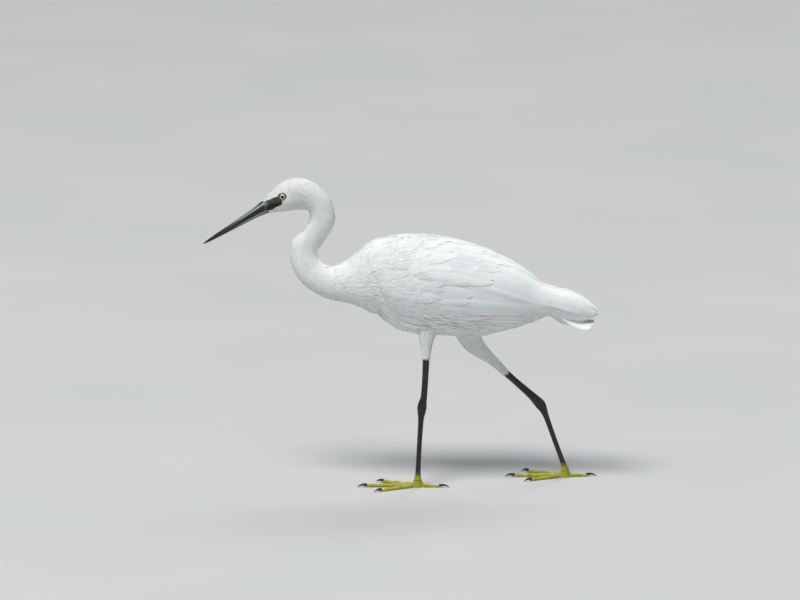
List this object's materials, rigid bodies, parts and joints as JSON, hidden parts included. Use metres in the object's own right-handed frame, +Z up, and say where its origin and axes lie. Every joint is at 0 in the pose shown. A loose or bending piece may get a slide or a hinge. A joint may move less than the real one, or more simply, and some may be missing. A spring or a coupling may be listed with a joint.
{
  "type": "little egret model",
  "caption": "Life-size still model of a little egret walking, white plumage, black bill and legs, yellow feet, set on its own feet.",
  "frame": {"origin": "on the floor under the middle of the bird's bounding box", "axes": "-X is the way the bird walks and faces, its left side is towards -Y, +Z up"},
  "size_m": [0.4749, 0.1092, 0.3704],
  "materials": {
    "plumage": "matt",
    "bill": "satin",
    "leg": "satin",
    "toe": "satin",
    "claw": "satin",
    "eye": "gloss"
  },
  "bodies": {
    "root": {"head": "plumage", "bill_upper": "bill", "bill_lower": "bill", "eye_left": "eye", "eye_right": "eye", "neck_upper": "plumage", "neck_middle": "plumage", "neck_lower": "plumage", "torso": "plumage", "wing_left": "plumage", "wing_right": "plumage", "tail": "plumage", "thigh_left": "plumage", "shank_left": "leg", "tarsus_left": "leg", "toe_inner_left": "toe", "claw_inner_left": "claw", "toe_middle_left": "toe", "claw_middle_left": "claw", "toe_outer_left": "toe", "claw_outer_left": "claw", "toe_hind_left": "toe", "claw_hind_left": "claw", "thigh_right": "plumage", "shank_right": "leg", "tarsus_right": "leg", "toe_inner_right": "toe", "claw_inner_right": "claw", "toe_middle_right": "toe", "claw_middle_right": "claw", "toe_outer_right": "toe", "claw_outer_right": "claw", "toe_hind_right": "toe", "claw_hind_right": "claw"}
  },
  "joints": []
}
